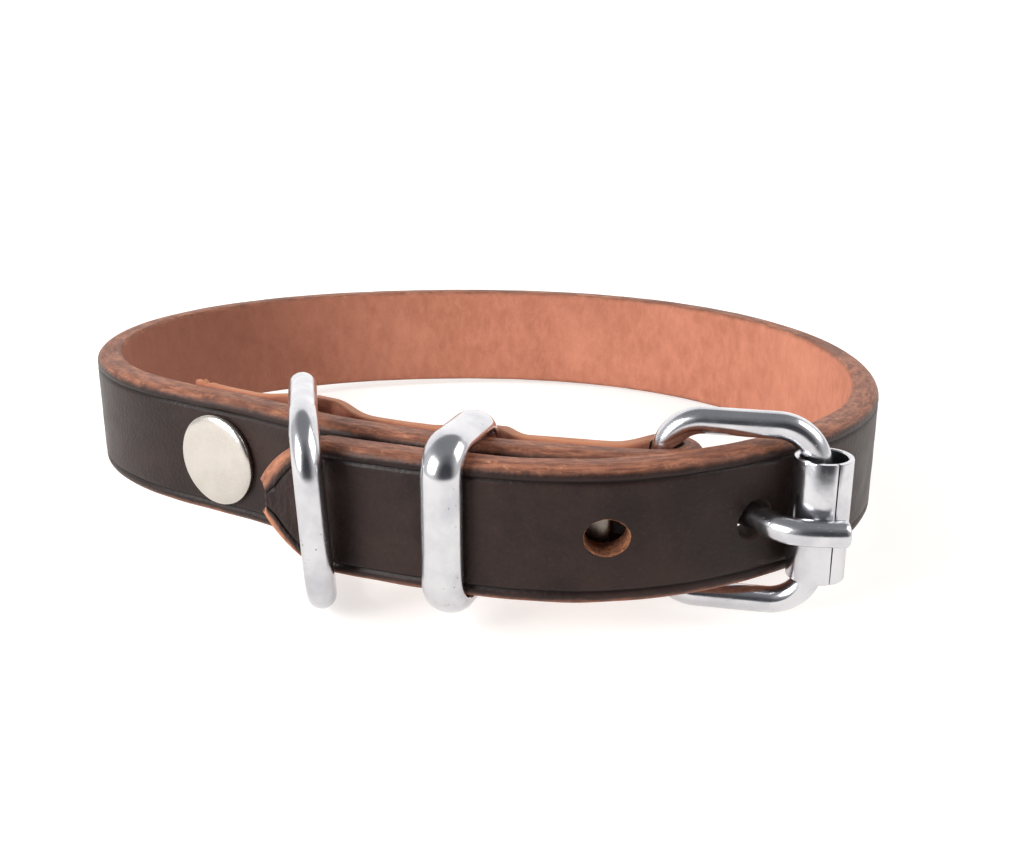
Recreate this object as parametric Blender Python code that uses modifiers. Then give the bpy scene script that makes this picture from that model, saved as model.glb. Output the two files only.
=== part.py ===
"""Flat leather buckle collar, fastened: one strap, a roller buckle, a keeper loop,
a dee ring and three double-cap rivets.

The collar is drawn with its strap standing on edge in a flat frame: the strap's lower edge
is at height 0 and the outline is seen from above. An empty then tips the whole collar, so
that it stands as a real one does, on its dee ring, its buckle and the strap's rear edge.
"""
import math

import bmesh
import bpy
from mathutils import Matrix, Vector

# Strap
STRAP_WIDTH = 0.0130
STRAP_THICKNESS = 0.0028
FOLD_THICKNESS = 0.0020
TURN_END_THICKNESS = 0.0010
SKIVE_LENGTH = 0.012
EDGE_ROUND = 0.0004
TIP_LENGTH = 0.0060
TIP_POWER = 1.6
TIP_FLAT = 0.0007
TIP_SHARES = (0.0, 0.05, 0.15, 0.3, 0.5, 0.72)
TAIL_RISE = 0.0006
TAIL_RISE_AT = 0.048
TAIL_RISE_REACH = 0.026
COLUMN_STEP = 0.0034
TURN_COLUMN_STEP = 0.0014
FOLD_COLUMNS = 10

# Outline of the strap's grain side, seen from above: where the tail's tip is, the way it
# heads, and how strongly it bends (1 over the radius) at distances from the tip.
START = Vector((-0.0183, -0.0290, 0.0))
START_HEADING = math.radians(-25.9)
BENDS = (
    (0.000, 5.4), (0.018, 9.7), (0.034, 37.6), (0.050, 28.9), (0.080, 26.1),
    (0.125, 24.0), (0.162, 13.5), (0.184, 25.0), (0.206, 42.1), (0.226, 41.3),
    (0.238, 28.4), (0.248, -14.5), (0.262, 17.2), (0.276, 11.8), (0.296, 22.9),
)
BAR_AT = 0.2955
BAR_BULGE = 0.0052
DEE_BULGE = 0.0040
DEE_ROOM = 0.0003
KEEPER_BULGE = 0.0026
TURN_END_AT = 0.2415
ROUTE_STEP = 0.00025

# Clearances
GAP = 0.0003
FRAME_ROOM = 0.00025
SHANK_ROOM = 0.0007

# Holes
HOLE_LENGTH = 0.0040
HOLE_WIDTH = 0.0033
FREE_HOLE_AT = 0.0330
HOLE_DEPTH = 1.6 * STRAP_THICKNESS
SLOT_WIDTH = 0.0032
SLOT_BACK = 0.0046
SLOT_FRONT = 0.0050
SLOT_OVERCUT = 0.0008
FOLD_OVERCUT = 0.0001

# Roller buckle
WIRE_RADIUS = 0.00125
FRAME_HALF_HEIGHT = 0.00845
FRAME_MIDDLE = 0.00695
BAR_CORNER = 0.0034
ROLLER_CORNER = 0.0037
ROLLER_RADIUS = 0.0026
ROLLER_WALL = 0.0005
ROLLER_LENGTH = 0.0110
ROLLER_MIDDLE = 0.00735
ROLLER_OFFSET = 0.00045
ROLLER_AT = 0.0520
ROLLER_LIP = 0.00015
PRONG_RADIUS = 0.0012
EYE_WIRE_RADIUS = 0.0009
EYE_RADIUS = WIRE_RADIUS + GAP + EYE_WIRE_RADIUS
PRONG_HEIGHT = 0.0071
PRONG_HEADING = math.radians(-11)
PRONG_STRAIGHT = (0.0024, 0.0036, 0.0050, 0.0069)
PRONG_TURNS = (
    (-16, 0.0009), (-16, 0.0009), (-17, 0.0009), (0, 0.0027),
    (16, 0.0011), (16, 0.0011), (14, 0.0011), (10, 0.0012), (6, 0.0012),
)
PRONG_NECK = (0.75, 0.85)

# Dee ring
DEE_HALF_HEIGHT = 0.0089
DEE_MIDDLE = 0.0063
DEE_LEAN = math.radians(2.9)
DEE_BAR_AT = 0.2560
DEE_FRONT_AT = 0.0070
DEE_BAR_CORNER = 0.0022
DEE_BOW_CORNER = 0.0052
DEE_STAND_OFF = 0.0014

# Keeper loop
KEEPER_HALF_THICKNESS = 0.00070
KEEPER_HALF_WIDTH = 0.0018
KEEPER_HALF_HEIGHT = 0.0077
KEEPER_GAP = 0.0005
KEEPER_MIDDLE = 0.0067
KEEPER_CORNER = 0.0018
KEEPER_BAR_AT = 0.2770
KEEPER_FRONT_AT = 0.0186
KEEPER_TRAVEL = 0.0003

# Double-cap rivets: distance along the strap of each
RIVETS_AT = {"rivet_left": 0.2475, "rivet_middle": 0.2672, "rivet_right": 0.2859}
CAP_RADIUS = 0.0048
CAP_RIM = 0.00045
CAP_HEIGHT = 0.0010
CAP_DOME = 0.97
CAP_SHARES = (0.0, 0.3, 0.6, 0.82, 0.95, 1.0)
TUBE_RADIUS = 0.0017
POST_RADIUS = 0.0010
BACK_CAP_GAP = 0.0009
RIVET_OVERCUT = 0.0007

# How the fastened collar stands on a table
REST_TILT = (math.radians(-2.8), math.radians(1.4), 0.0)

ROUND_STEPS = 24
WIRE_SIDES_RESOLUTION = 4
CORNER_POINTS = 7

# Materials: name, colour, roughness, metallic
LEATHER = ("bridle_leather", (0.045, 0.026, 0.022), 0.5, 0.0)
CHROME = ("chromed_steel", (0.80, 0.80, 0.82), 0.12, 1.0)
NICKEL = ("rivet_nickel", (0.78, 0.74, 0.68), 0.25, 1.0)


def clear_scene():
    for item in list(bpy.data.objects):
        bpy.data.objects.remove(item)


def new_collection(name):
    collection = bpy.data.collections.new(name)
    bpy.context.scene.collection.children.link(collection)
    return collection


def make_material(name, color, roughness, metallic):
    material = bpy.data.materials.new(name)
    material.use_nodes = True
    shader = material.node_tree.nodes["Principled BSDF"]
    shader.inputs["Base Color"].default_value = (*color, 1.0)
    shader.inputs["Roughness"].default_value = roughness
    shader.inputs["Metallic"].default_value = metallic
    return material


def ease(x):
    """Smooth step from 0 to 1."""
    x = min(max(x, 0.0), 1.0)
    return x * x * (3.0 - 2.0 * x)


def bump(distance, reach):
    """1 in the middle, easing to 0 at a distance of reach."""
    return 1.0 - ease(abs(distance) / reach)


def bend_at(s):
    for (s0, b0), (s1, b1) in zip(BENDS, BENDS[1:]):
        if s <= s1:
            return b0 + (b1 - b0) * (s - s0) / (s1 - s0)
    return BENDS[-1][1]


def trace_route():
    """Points and headings of the grain side, every ROUTE_STEP from the tail's tip."""
    point, heading = START.copy(), START_HEADING
    route = [(point.copy(), heading)]
    for i in range(int(BENDS[-1][0] / ROUTE_STEP) + 2):
        turn = bend_at((i + 0.5) * ROUTE_STEP) * ROUTE_STEP
        middle = heading + turn / 2
        point = point + ROUTE_STEP * Vector((math.cos(middle), math.sin(middle), 0.0))
        heading += turn
        route.append((point.copy(), heading))
    return route


ROUTE = trace_route()


def along(s):
    """The grain side at distance s: its point, its heading and its outward normal."""
    i = int(s / ROUTE_STEP)
    share = s / ROUTE_STEP - i
    (p0, h0), (p1, h1) = ROUTE[i], ROUTE[i + 1]
    heading = h0 + (h1 - h0) * share
    normal = Vector((math.sin(heading), -math.cos(heading), 0.0))
    return p0.lerp(p1, share), heading, normal


def thickness_at(s):
    """The main ply is skived thinner over the last stretch before the buckle."""
    skived = ease((s - BAR_AT + SKIVE_LENGTH) / SKIVE_LENGTH)
    return STRAP_THICKNESS - (STRAP_THICKNESS - FOLD_THICKNESS) * skived


def turn_thickness_at(s):
    share = (BAR_AT - s) / (BAR_AT - TURN_END_AT)
    return FOLD_THICKNESS + (TURN_END_THICKNESS - FOLD_THICKNESS) * share


def bulge(distance, half_width, reach):
    """1 over a bar of that half width, easing to 0 within reach beyond it."""
    return 1.0 - ease((abs(distance) - half_width) / reach)


def ply_spacing(s):
    """Room between the main ply and the turned ply, wider at each metal bar."""
    wire = 2 * WIRE_RADIUS + GAP
    keeper = 2 * KEEPER_HALF_THICKNESS + KEEPER_GAP
    room = GAP
    room += wire * bulge(s - BAR_AT, 0.0, BAR_BULGE)
    room += wire * bulge(s - DEE_BAR_AT, WIRE_RADIUS + DEE_ROOM, DEE_BULGE)
    room += keeper * bulge(s - KEEPER_BAR_AT, KEEPER_HALF_WIDTH + KEEPER_TRAVEL, KEEPER_BULGE)
    return room


def inside_point(s, half_depth):
    """Centre of a bar of that half depth, lying in the turn against the main ply."""
    point, _, normal = along(s)
    return point - normal * (thickness_at(s) + GAP + half_depth)


def outside_point(s, distance):
    point, _, normal = along(s)
    return point + normal * distance


def rise_at(s):
    return TAIL_RISE * bump(s - TAIL_RISE_AT, TAIL_RISE_REACH)


def tip_share(s):
    """Share of the strap's width at distance s from the tip of the tail."""
    if s >= TIP_LENGTH:
        return 1.0
    return max(1.0 - (1.0 - s / TIP_LENGTH) ** TIP_POWER, 2 * TIP_FLAT / STRAP_WIDTH)


def spaced(first, last, step):
    count = max(1, round(abs(last - first) / step))
    return [first + (last - first) * i / count for i in range(count + 1)]


def strap_columns():
    """Each column across the strap: the grain side's point, low and high edge, thickness."""
    columns = []
    tip = [TIP_LENGTH * share for share in TIP_SHARES]
    for s in tip + spaced(TIP_LENGTH, BAR_AT, COLUMN_STEP):
        point, _, _ = along(s)
        half = STRAP_WIDTH / 2 * tip_share(s)
        middle = STRAP_WIDTH / 2 + rise_at(s)
        columns.append((point, middle - half, middle + half, thickness_at(s)))
    bar = inside_point(BAR_AT, WIRE_RADIUS)
    _, heading, _ = along(BAR_AT)
    reach = WIRE_RADIUS + GAP + FOLD_THICKNESS
    for i in range(1, FOLD_COLUMNS):
        angle = heading - math.pi / 2 + math.pi * i / FOLD_COLUMNS
        around = Vector((math.cos(angle), math.sin(angle), 0.0))
        columns.append((bar + reach * around, 0.0, STRAP_WIDTH, FOLD_THICKNESS))
    for s in spaced(BAR_AT, TURN_END_AT, TURN_COLUMN_STEP):
        point, _, normal = along(s)
        depth = thickness_at(s) + ply_spacing(s) + turn_thickness_at(s)
        columns.append((point - normal * depth, 0.0, STRAP_WIDTH, turn_thickness_at(s)))
    return columns


def add_bevel(item, width, segments):
    bevel = item.modifiers.new("round_edges", "BEVEL")
    bevel.width = width
    bevel.segments = segments
    bevel.limit_method = "ANGLE"
    bevel.angle_limit = math.radians(50)


def add_boolean(item, other, operation="DIFFERENCE"):
    boolean = item.modifiers.new(other.name, "BOOLEAN")
    boolean.object = other
    boolean.operation = operation
    boolean.solver = "EXACT"
    boolean.use_self = True


def finish_mesh(item, sharp_degrees=35):
    item.data.shade_smooth()
    item.data.set_sharp_from_angle(angle=math.radians(sharp_degrees))


def make_strap(parts, material):
    """A band as wide as the strap, given its thickness towards the flesh side."""
    columns = strap_columns()
    vertices = []
    for point, low, high, _ in columns:
        vertices.append((point.x, point.y, low))
        vertices.append((point.x, point.y, high))
    faces = [(2 * i, 2 * i + 2, 2 * i + 3, 2 * i + 1) for i in range(len(columns) - 1)]
    mesh = bpy.data.meshes.new("strap")
    mesh.from_pydata(vertices, [], faces)
    mesh.materials.append(material)
    strap = bpy.data.objects.new("strap", mesh)
    parts.objects.link(strap)
    group = strap.vertex_groups.new(name="thickness")
    for i, (_, _, _, thickness) in enumerate(columns):
        group.add((2 * i, 2 * i + 1), thickness / STRAP_THICKNESS, "REPLACE")
    solidify = strap.modifiers.new("leather_thickness", "SOLIDIFY")
    solidify.thickness = STRAP_THICKNESS
    solidify.offset = -1.0
    solidify.vertex_group = "thickness"
    add_bevel(strap, EDGE_ROUND, 2)
    finish_mesh(strap, 60)
    return strap


def rounded_loop(near, far, half_height, near_corner, far_corner):
    """A rectangle with round corners, in its own plane: x from near to far, z up and down."""
    corners = (
        (near, -half_height, near_corner, math.pi),
        (far, -half_height, far_corner, 1.5 * math.pi),
        (far, half_height, far_corner, 0.0),
        (near, half_height, near_corner, 0.5 * math.pi),
    )
    points = []
    for x, z, radius, start in corners:
        centre_x = x + math.copysign(radius, (near + far) / 2 - x)
        centre_z = z - math.copysign(radius, z)
        for i in range(CORNER_POINTS):
            angle = start + 0.5 * math.pi * i / (CORNER_POINTS - 1)
            across, up = radius * math.cos(angle), radius * math.sin(angle)
            points.append((centre_x + across, 0.0, centre_z + up))
    return points


def make_wire(name, points, radius, cyclic, collection, material=None, radii=None):
    """A wire of round section along the points, of another thickness where radii says so."""
    curve = bpy.data.curves.new(name, "CURVE")
    curve.dimensions = "3D"
    curve.bevel_depth = radius
    curve.bevel_resolution = WIRE_SIDES_RESOLUTION
    curve.use_fill_caps = not cyclic
    spline = curve.splines.new("POLY")
    spline.points.add(len(points) - 1)
    for i, point in enumerate(points):
        spline.points[i].co = (*point, 1.0)
        spline.points[i].radius = radii[i] if radii else 1.0
    spline.use_cyclic_u = cyclic
    if material:
        curve.materials.append(material)
    wire = bpy.data.objects.new(name, curve)
    collection.objects.link(wire)
    return wire


def to_mesh(wire, collection):
    """The same wire as a mesh object with welded caps, which a Boolean can use."""
    bpy.context.view_layer.update()
    evaluated = wire.evaluated_get(bpy.context.evaluated_depsgraph_get())
    mesh = bpy.data.meshes.new_from_object(evaluated)
    cage = bmesh.new()
    cage.from_mesh(mesh)
    bmesh.ops.remove_doubles(cage, verts=cage.verts, dist=0.00001)
    bmesh.ops.recalc_face_normals(cage, faces=cage.faces)
    cage.to_mesh(mesh)
    cage.free()
    name = wire.name
    item = bpy.data.objects.new(name + "_mesh", mesh)
    item.matrix_world = wire.matrix_world.copy()
    collection.objects.link(item)
    bpy.data.objects.remove(wire)
    item.name = name
    return item


def turned(name, profile, collection, material=None):
    """A round piece from its profile, which runs down its outer side, about its own z axis."""
    mesh = bpy.data.meshes.new(name)
    vertices = [(x, 0.0, z) for x, z in profile]
    mesh.from_pydata(vertices, [(i, i + 1) for i in range(len(vertices) - 1)], [])
    if material:
        mesh.materials.append(material)
    item = bpy.data.objects.new(name, mesh)
    collection.objects.link(item)
    screw = item.modifiers.new("turn", "SCREW")
    screw.steps = ROUND_STEPS
    screw.render_steps = ROUND_STEPS
    screw.use_merge_vertices = True
    screw.merge_threshold = 0.00001
    screw.use_smooth_shade = True
    return item


def as_helper(item):
    item.hide_render = True
    item.display_type = "WIRE"


def add_cylinder(name, radius, length, location, rotation, collection):
    bpy.ops.mesh.primitive_cylinder_add(
        vertices=ROUND_STEPS, radius=radius, depth=length, location=location, rotation=rotation
    )
    item = bpy.context.object
    item.name = name
    for owner in list(item.users_collection):
        owner.objects.unlink(item)
    collection.objects.link(item)
    as_helper(item)
    return item


def facing(normal):
    """Rotation that turns a piece's z axis to the normal."""
    return normal.to_track_quat("Z", "Y").to_euler()


def standing(direction):
    """Rotation about the vertical that turns a piece's x axis to the direction."""
    return (0.0, 0.0, math.atan2(direction.y, direction.x))


def raised(point, height):
    return Vector((point.x, point.y, height))


def flat_direction(start, end):
    return (end - start).normalized()


BAR_POINT = inside_point(BAR_AT, WIRE_RADIUS)
ROLLER_POINT = outside_point(ROLLER_AT, GAP + ROLLER_RADIUS)
FRAME_WAY = flat_direction(BAR_POINT, ROLLER_POINT)


def make_buckle_frame(parts, helpers, material):
    """The wire loop that carries the prong and the roller, and a fatter one that cuts its room."""
    reach = (ROLLER_POINT - BAR_POINT).length - ROLLER_OFFSET
    points = rounded_loop(0.0, reach, FRAME_HALF_HEIGHT, BAR_CORNER, ROLLER_CORNER)
    frame = make_wire("buckle_frame", points, WIRE_RADIUS, True, parts, material)
    room = make_wire("frame_room", points, WIRE_RADIUS + FRAME_ROOM, True, helpers)
    for item in (frame, room):
        item.location = raised(BAR_POINT, FRAME_MIDDLE)
        item.rotation_euler = standing(FRAME_WAY)
    room = to_mesh(room, helpers)
    as_helper(room)
    return room


def make_roller(parts, material):
    """A rolled sheet tube that turns on the front wire of the frame."""
    top = ROLLER_LENGTH / 2
    inner = ROLLER_RADIUS - ROLLER_WALL
    rim = ROLLER_RADIUS - ROLLER_LIP
    profile = [
        (inner, top), (rim, top), (ROLLER_RADIUS, top - ROLLER_LIP),
        (ROLLER_RADIUS, ROLLER_LIP - top), (rim, -top), (inner, -top), (inner, top),
    ]
    roller = turned("buckle_roller", profile, parts, material)
    roller.location = raised(ROLLER_POINT, ROLLER_MIDDLE)
    return roller


def prong_route():
    """From the eye on the bar, behind the tail, out through its hole and over the roller."""
    way = Vector((math.cos(PRONG_HEADING), math.sin(PRONG_HEADING), 0.0))
    points = [way * distance for distance in PRONG_STRAIGHT]
    heading, point = PRONG_HEADING, points[-1].copy()
    for turn, step in PRONG_TURNS:
        heading += math.radians(turn)
        point = point + step * Vector((math.cos(heading), math.sin(heading), 0.0))
        points.append(point)
    return points


def make_prong(parts, helpers, material):
    """An eye round the bar, joined to the shank."""
    bpy.ops.mesh.primitive_torus_add(
        major_radius=EYE_RADIUS, minor_radius=EYE_WIRE_RADIUS, major_segments=24, minor_segments=12
    )
    prong = bpy.context.object
    prong.name = "buckle_prong"
    for owner in list(prong.users_collection):
        owner.objects.unlink(prong)
    parts.objects.link(prong)
    prong.data.materials.append(material)
    points = prong_route()
    radii = list(PRONG_NECK) + [1.0] * (len(points) - len(PRONG_NECK))
    shank = make_wire("prong_shank", points, PRONG_RADIUS, False, helpers, radii=radii)
    room = make_wire("prong_room", points, PRONG_RADIUS + SHANK_ROOM, False, helpers)
    origin = raised(BAR_POINT, PRONG_HEIGHT)
    for item in (prong, shank, room):
        item.location = origin
    shank = to_mesh(shank, helpers)
    room = to_mesh(room, helpers)
    as_helper(shank)
    as_helper(room)
    add_boolean(prong, shank, "UNION")
    finish_mesh(prong, 40)
    return room


def make_dee_ring(parts, material):
    """A dee of round wire: its straight bar lies in the turn, its bow goes round the tail."""
    bar = inside_point(DEE_BAR_AT, WIRE_RADIUS)
    front = outside_point(DEE_FRONT_AT, DEE_STAND_OFF + WIRE_RADIUS)
    reach = (front - bar).length
    points = rounded_loop(0.0, reach, DEE_HALF_HEIGHT, DEE_BAR_CORNER, DEE_BOW_CORNER)
    dee = make_wire("dee_ring", points, WIRE_RADIUS, True, parts, material)
    dee.location = raised(bar, DEE_MIDDLE)
    _, _, heading = standing(flat_direction(bar, front))
    dee.rotation_euler = (DEE_LEAN, 0.0, heading)
    return dee


def make_keeper(parts, material):
    """A flattened loop that holds the tail down, caught in the turn by its rear bar."""
    bar = inside_point(KEEPER_BAR_AT, KEEPER_HALF_THICKNESS + (KEEPER_GAP - GAP) / 2)
    front = outside_point(KEEPER_FRONT_AT, KEEPER_GAP + KEEPER_HALF_THICKNESS)
    reach = (front - bar).length
    points = rounded_loop(0.0, reach, KEEPER_HALF_HEIGHT, KEEPER_CORNER, KEEPER_CORNER)
    keeper = make_wire("keeper_loop", points, KEEPER_HALF_THICKNESS, True, parts, material)
    keeper.scale = (1.0, KEEPER_HALF_WIDTH / KEEPER_HALF_THICKNESS, 1.0)
    keeper.location = raised(bar, KEEPER_MIDDLE)
    keeper.rotation_euler = standing(flat_direction(bar, front))
    return keeper


def cap_outline(base):
    """The domed outer side of a cap from its middle to its rim, standing on height base."""
    points = []
    for share in CAP_SHARES:
        dome = math.sqrt(1.0 - (share * CAP_DOME) ** 2)
        points.append((CAP_RADIUS * share, base + CAP_RIM + (CAP_HEIGHT - CAP_RIM) * dome))
    points.append((CAP_RADIUS, base))
    return points


def make_rivet(name, s, parts, helpers, material):
    """The two halves of a double-cap rivet. Returns the cutter of its hole through both plies."""
    grip = thickness_at(s) + ply_spacing(s) + turn_thickness_at(s)
    _, _, normal = along(s)
    front_at = raised(outside_point(s, GAP), STRAP_WIDTH / 2)
    back_at = raised(outside_point(s, -grip - BACK_CAP_GAP), STRAP_WIDTH / 2)
    end = -grip - GAP
    bore = POST_RADIUS + GAP
    tube = [(TUBE_RADIUS, 0.0), (TUBE_RADIUS, end), (bore, end), (bore, 0.0), (0.0, 0.0)]
    post = [(POST_RADIUS, 0.0), (POST_RADIUS, end + GAP), (0.0, end + GAP)]
    front = turned(name + "_front", cap_outline(0.0) + tube, parts, material)
    back = turned(name + "_back", cap_outline(0.0) + post, parts, material)
    front.location, front.rotation_euler = front_at, facing(normal)
    back.location, back.rotation_euler = back_at, facing(-normal)
    middle = (front_at + back_at) / 2
    length = grip + 2 * RIVET_OVERCUT
    way = facing(normal)
    return add_cylinder(name + "_hole", TUBE_RADIUS + GAP, length, middle, way, helpers)


def make_free_hole(helpers):
    """The oval adjusting hole that the prong doesn't use."""
    point, _, normal = along(FREE_HOLE_AT)
    height = STRAP_WIDTH / 2 + rise_at(FREE_HOLE_AT)
    middle = raised(point - normal * STRAP_THICKNESS / 2, height)
    way = facing(normal)
    hole = add_cylinder("free_hole", HOLE_WIDTH / 2, HOLE_DEPTH, middle, way, helpers)
    hole.scale = (HOLE_LENGTH / HOLE_WIDTH, 1.0, 1.0)
    return hole


def make_slot(helpers):
    """The slot in the fold that the prong's eye and shank stand in."""
    bpy.ops.mesh.primitive_cube_add(size=1.0)
    slot = bpy.context.object
    slot.name = "prong_slot"
    for owner in list(slot.users_collection):
        owner.objects.unlink(slot)
    helpers.objects.link(slot)
    _, heading, normal = along(BAR_AT)
    way = Vector((math.cos(heading), math.sin(heading), 0.0))
    outward = WIRE_RADIUS + GAP + FOLD_THICKNESS + FOLD_OVERCUT
    inward = EYE_RADIUS + EYE_WIRE_RADIUS + GAP + SLOT_OVERCUT
    ahead = way * (SLOT_FRONT - SLOT_BACK) / 2
    aside = normal * (outward - inward) / 2
    slot.scale = (SLOT_BACK + SLOT_FRONT, outward + inward, SLOT_WIDTH)
    slot.location = raised(BAR_POINT + ahead + aside, PRONG_HEIGHT)
    slot.rotation_euler = (0.0, 0.0, heading)
    as_helper(slot)
    return slot


def world_bounds(items):
    bpy.context.view_layer.update()
    graph = bpy.context.evaluated_depsgraph_get()
    corners = []
    for item in items:
        evaluated = item.evaluated_get(graph)
        mesh = evaluated.to_mesh()
        corners += [evaluated.matrix_world @ vertex.co for vertex in mesh.vertices]
        evaluated.to_mesh_clear()
    low = Vector([min(corner[i] for corner in corners) for i in range(3)])
    high = Vector([max(corner[i] for corner in corners) for i in range(3)])
    return low, high


def stand_on_table(parts, helpers):
    """Tip the collar to its rest on a table and put the middle of its base at the origin."""
    stand = bpy.data.objects.new("collar_stand", None)
    parts.objects.link(stand)
    for item in list(parts.objects) + list(helpers.objects):
        if item is not stand:
            item.parent = stand
    stand.rotation_euler = REST_TILT
    low, high = world_bounds([item for item in parts.objects if item is not stand])
    stand.location = (-(low.x + high.x) / 2, -(low.y + high.y) / 2, -low.z)


def build():
    clear_scene()
    parts = new_collection("buckle_collar")
    helpers = new_collection("cutters")
    leather = make_material(*LEATHER)
    chrome = make_material(*CHROME)
    nickel = make_material(*NICKEL)
    strap = make_strap(parts, leather)
    frame_room = make_buckle_frame(parts, helpers, chrome)
    make_roller(parts, chrome)
    prong_room = make_prong(parts, helpers, chrome)
    make_dee_ring(parts, chrome)
    make_keeper(parts, chrome)
    cutters = [make_free_hole(helpers), make_slot(helpers), prong_room, frame_room]
    for name, s in RIVETS_AT.items():
        cutters.append(make_rivet(name, s, parts, helpers, nickel))
    for cutter in cutters:
        add_boolean(strap, cutter)
    stand_on_table(parts, helpers)


build()
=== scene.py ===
"""Looks of a flat leather buckle collar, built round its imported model."""
import math

import bmesh
import bpy
from mathutils import Matrix, Vector, noise


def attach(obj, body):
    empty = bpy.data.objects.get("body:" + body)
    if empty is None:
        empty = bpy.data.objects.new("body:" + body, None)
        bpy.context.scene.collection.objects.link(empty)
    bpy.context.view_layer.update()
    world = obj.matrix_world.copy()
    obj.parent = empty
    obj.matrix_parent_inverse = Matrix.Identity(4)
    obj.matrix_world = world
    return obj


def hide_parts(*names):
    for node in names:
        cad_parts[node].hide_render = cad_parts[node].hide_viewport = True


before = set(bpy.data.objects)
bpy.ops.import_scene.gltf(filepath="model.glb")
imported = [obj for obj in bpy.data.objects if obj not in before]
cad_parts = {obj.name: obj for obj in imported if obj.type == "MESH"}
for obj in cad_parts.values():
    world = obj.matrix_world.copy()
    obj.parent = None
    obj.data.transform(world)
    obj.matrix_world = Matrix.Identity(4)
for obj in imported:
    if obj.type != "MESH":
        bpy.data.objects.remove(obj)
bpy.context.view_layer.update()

# The collar's own frame: the strap's lower edge at height 0, outline seen from above.
REST_TILT = (math.radians(-2.8), math.radians(1.4), 0.0)
STAND_AT = Vector((-0.000243, -0.000006, 0.002465))

# Strap
STRAP_WIDTH = 0.0130
STRAP_THICKNESS = 0.0028
FOLD_THICKNESS = 0.0020
TURN_END_THICKNESS = 0.0010
SKIVE_LENGTH = 0.012
TIP_LENGTH = 0.0060
TIP_POWER = 1.8
TIP_FLAT = 0.17
TIP_SLANT = 0.0014
TIP_BEVEL_DEPTH = 0.0011
TAIL_RISE = 0.0006
TAIL_RISE_AT = 0.048
TAIL_RISE_REACH = 0.026
COLUMN_STEP = 0.0006
FOLD_COLUMNS = 18
TIP_COLUMNS = 22
CREASE_FROM_EDGE = 0.00175
SHOULDER = 0.0010
SHOULDER_DROP = 0.00125
FLESH_CORNER = 0.00040
FULL_SECTION_HALF = 0.0028
TIP_SWELL = 0.0005
SKIN_WOBBLE = 0.00004
FLUFF = 0.0004
FLUFF_REACH = 0.005

# The pressed crease, outwards: share of its width, place on the section, depth in millimetres
CREASE_SHAPE = (
    (0.0, 0.28, 0.0), (0.18, 0.295, 0.02), (0.36, 0.308, 0.10), (0.5, 0.32, 0.17),
    (0.64, 0.332, 0.12), (0.82, 0.345, 0.035), (1.0, 0.36, 0.0),
)

# Grain side of the strap: start, heading, and how strongly it bends at distances from the tip
START = Vector((-0.0183, -0.0290, 0.0))
START_HEADING = math.radians(-25.9)
BENDS = (
    (0.000, 5.4), (0.018, 9.7), (0.034, 37.6), (0.050, 28.9), (0.080, 26.1),
    (0.125, 24.0), (0.162, 13.5), (0.184, 25.0), (0.206, 42.1), (0.226, 41.3),
    (0.238, 28.4), (0.248, -14.5), (0.262, 17.2), (0.276, 11.8), (0.296, 22.9),
)
BAR_AT = 0.2955
BAR_BULGE = 0.0052
DEE_BULGE = 0.0048
DEE_BULGE_AHEAD = 0.0080
DEE_ROOM = 0.0003
KEEPER_BULGE = 0.0030
TURN_END_AT = 0.2415
ROUTE_STEP = 0.00025
GAP = 0.0003

# Holes
HOLE_LENGTH = 0.0040
HOLE_WIDTH = 0.0033
FREE_HOLE_AT = 0.0330
PRONG_HOLE_AT = 0.0472
PRONG_HOLE_HEIGHT = 0.0067
PRONG_HOLE_SIZE = 0.95
SLOT_WIDTH = 0.0032
SLOT_BACK = 0.0046
SLOT_FRONT = 0.0050
SLOT_PAST_FOLD = 0.0001
SLOT_PAST_EYE = 0.0008
FRAME_ROOM = 0.00022
PRONG_ROOM = 0.0006
# Wall of a punched hole from the grain inwards: height over the strap's middle and how wide
HOLE_WALL = (
    (0.0024, 1.12), (0.00145, 1.10), (0.0013, 1.03), (0.0010, 0.99), (0.0, 0.95),
    (-0.0010, 0.97), (-0.0024, 1.02),
)
HOLE_ROUGHNESS = 0.035
HOLE_SIDES = 64

# Hardware
WIRE_RADIUS = 0.00125
FRAME_HALF_HEIGHT = 0.00845
FRAME_MIDDLE = 0.00695
BAR_CORNER = 0.0034
ROLLER_CORNER = 0.0037
ROLLER_RADIUS = 0.0026
ROLLER_WALL = 0.0005
ROLLER_LENGTH = 0.0114
ROLLER_MIDDLE = 0.00715
ROLLER_OFFSET = 0.00045
ROLLER_AT = 0.0520
ROLLER_SEAM = math.radians(-73)
ROLLER_SLIT = 0.00007
ROLLER_LIP = 0.00010
ROLLER_TUCKS = (0.00006, 0.00002)
ROLLER_STEPS = 96
PRONG_RADIUS = 0.0012
EYE_WIRE_RADIUS = 0.0009
EYE_RADIUS = WIRE_RADIUS + GAP + EYE_WIRE_RADIUS
PRONG_HEIGHT = 0.0071
PRONG_HEADING = math.radians(-11)
PRONG_STRAIGHT = (0.0024, 0.0036, 0.0047, 0.0057)
PRONG_TURNS = (
    (-16, 0.0009), (-16, 0.0009), (-17, 0.0009), (0, 0.0027),
    (16, 0.0011), (16, 0.0011), (14, 0.0011), (10, 0.0014), (6, 0.0022),
)
PRONG_CHAMFER = 0.00022
DEE_HALF_HEIGHT = 0.0089
DEE_MIDDLE = 0.0063
DEE_WIRE_RADIUS = 0.00137
DEE_LEAN = math.radians(2.9)
DEE_BAR_AT = 0.2560
DEE_FRONT_AT = 0.0070
DEE_BAR_CORNER = 0.0022
DEE_BOW_CORNER = 0.0052
DEE_STAND_OFF = 0.0014
KEEPER_HALF_THICKNESS = 0.0007
KEEPER_HALF_WIDTH = 0.0018
KEEPER_HALF_HEIGHT = 0.0077
KEEPER_GAP = 0.0005
KEEPER_MIDDLE = 0.0067
KEEPER_CORNER = 0.0018
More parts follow.
